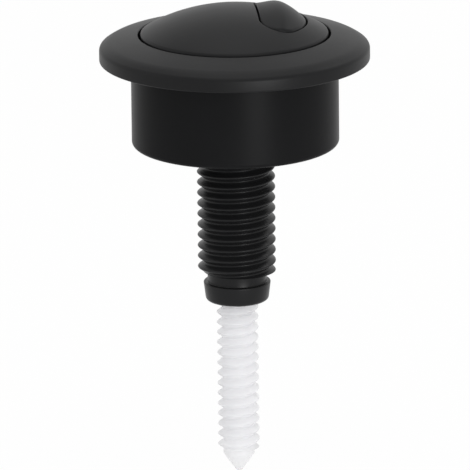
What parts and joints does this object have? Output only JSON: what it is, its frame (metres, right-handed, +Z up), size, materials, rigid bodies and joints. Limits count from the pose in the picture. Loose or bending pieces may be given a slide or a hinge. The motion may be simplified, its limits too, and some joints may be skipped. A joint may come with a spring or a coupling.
{
  "type": "push button cistern actuator",
  "caption": "Round matte black push button for a cistern lid: domed full flush button, pebble-shaped half flush button, barrel, threaded stem and white push rod.",
  "frame": {"origin": "on the axis of the barrel, at the underside of the flange that rests on the cistern lid", "axes": "+Z up out of the lid, along the axis; +X towards the small half flush button"},
  "size_m": [0.062, 0.062, 0.1114],
  "materials": {
    "black_plastic": "fine matte, moulded",
    "white_plastic": "satin, slightly translucent",
    "spring_steel": "drawn wire"
  },
  "bodies": {
    "housing": {"bezel_ring": "black_plastic", "barrel": "black_plastic", "threaded_stem": "black_plastic", "full_flush_spring": "spring_steel", "half_flush_spring": "spring_steel"},
    "full_flush": {"full_flush_cap": "black_plastic", "full_flush_plunger": "black_plastic"},
    "half_flush": {"half_flush_cap": "black_plastic", "half_flush_carrier": "black_plastic", "push_rod": "white_plastic"}
  },
  "joints": [
    {"name": "full_flush_press", "type": "slide", "parent": "housing", "child": "full_flush", "axis": [0, 0, -1], "range_m": [0, 0.009], "stiffness_N_per_m": 400, "springref_m": -0.006, "deforming": ["full_flush_spring", "half_flush_spring"]},
    {"name": "half_flush_press", "type": "slide", "parent": "full_flush", "child": "half_flush", "axis": [0, 0, -1], "range_m": [0, 0.004], "stiffness_N_per_m": 300, "springref_m": -0.008, "deforming": ["half_flush_spring"]}
  ]
}
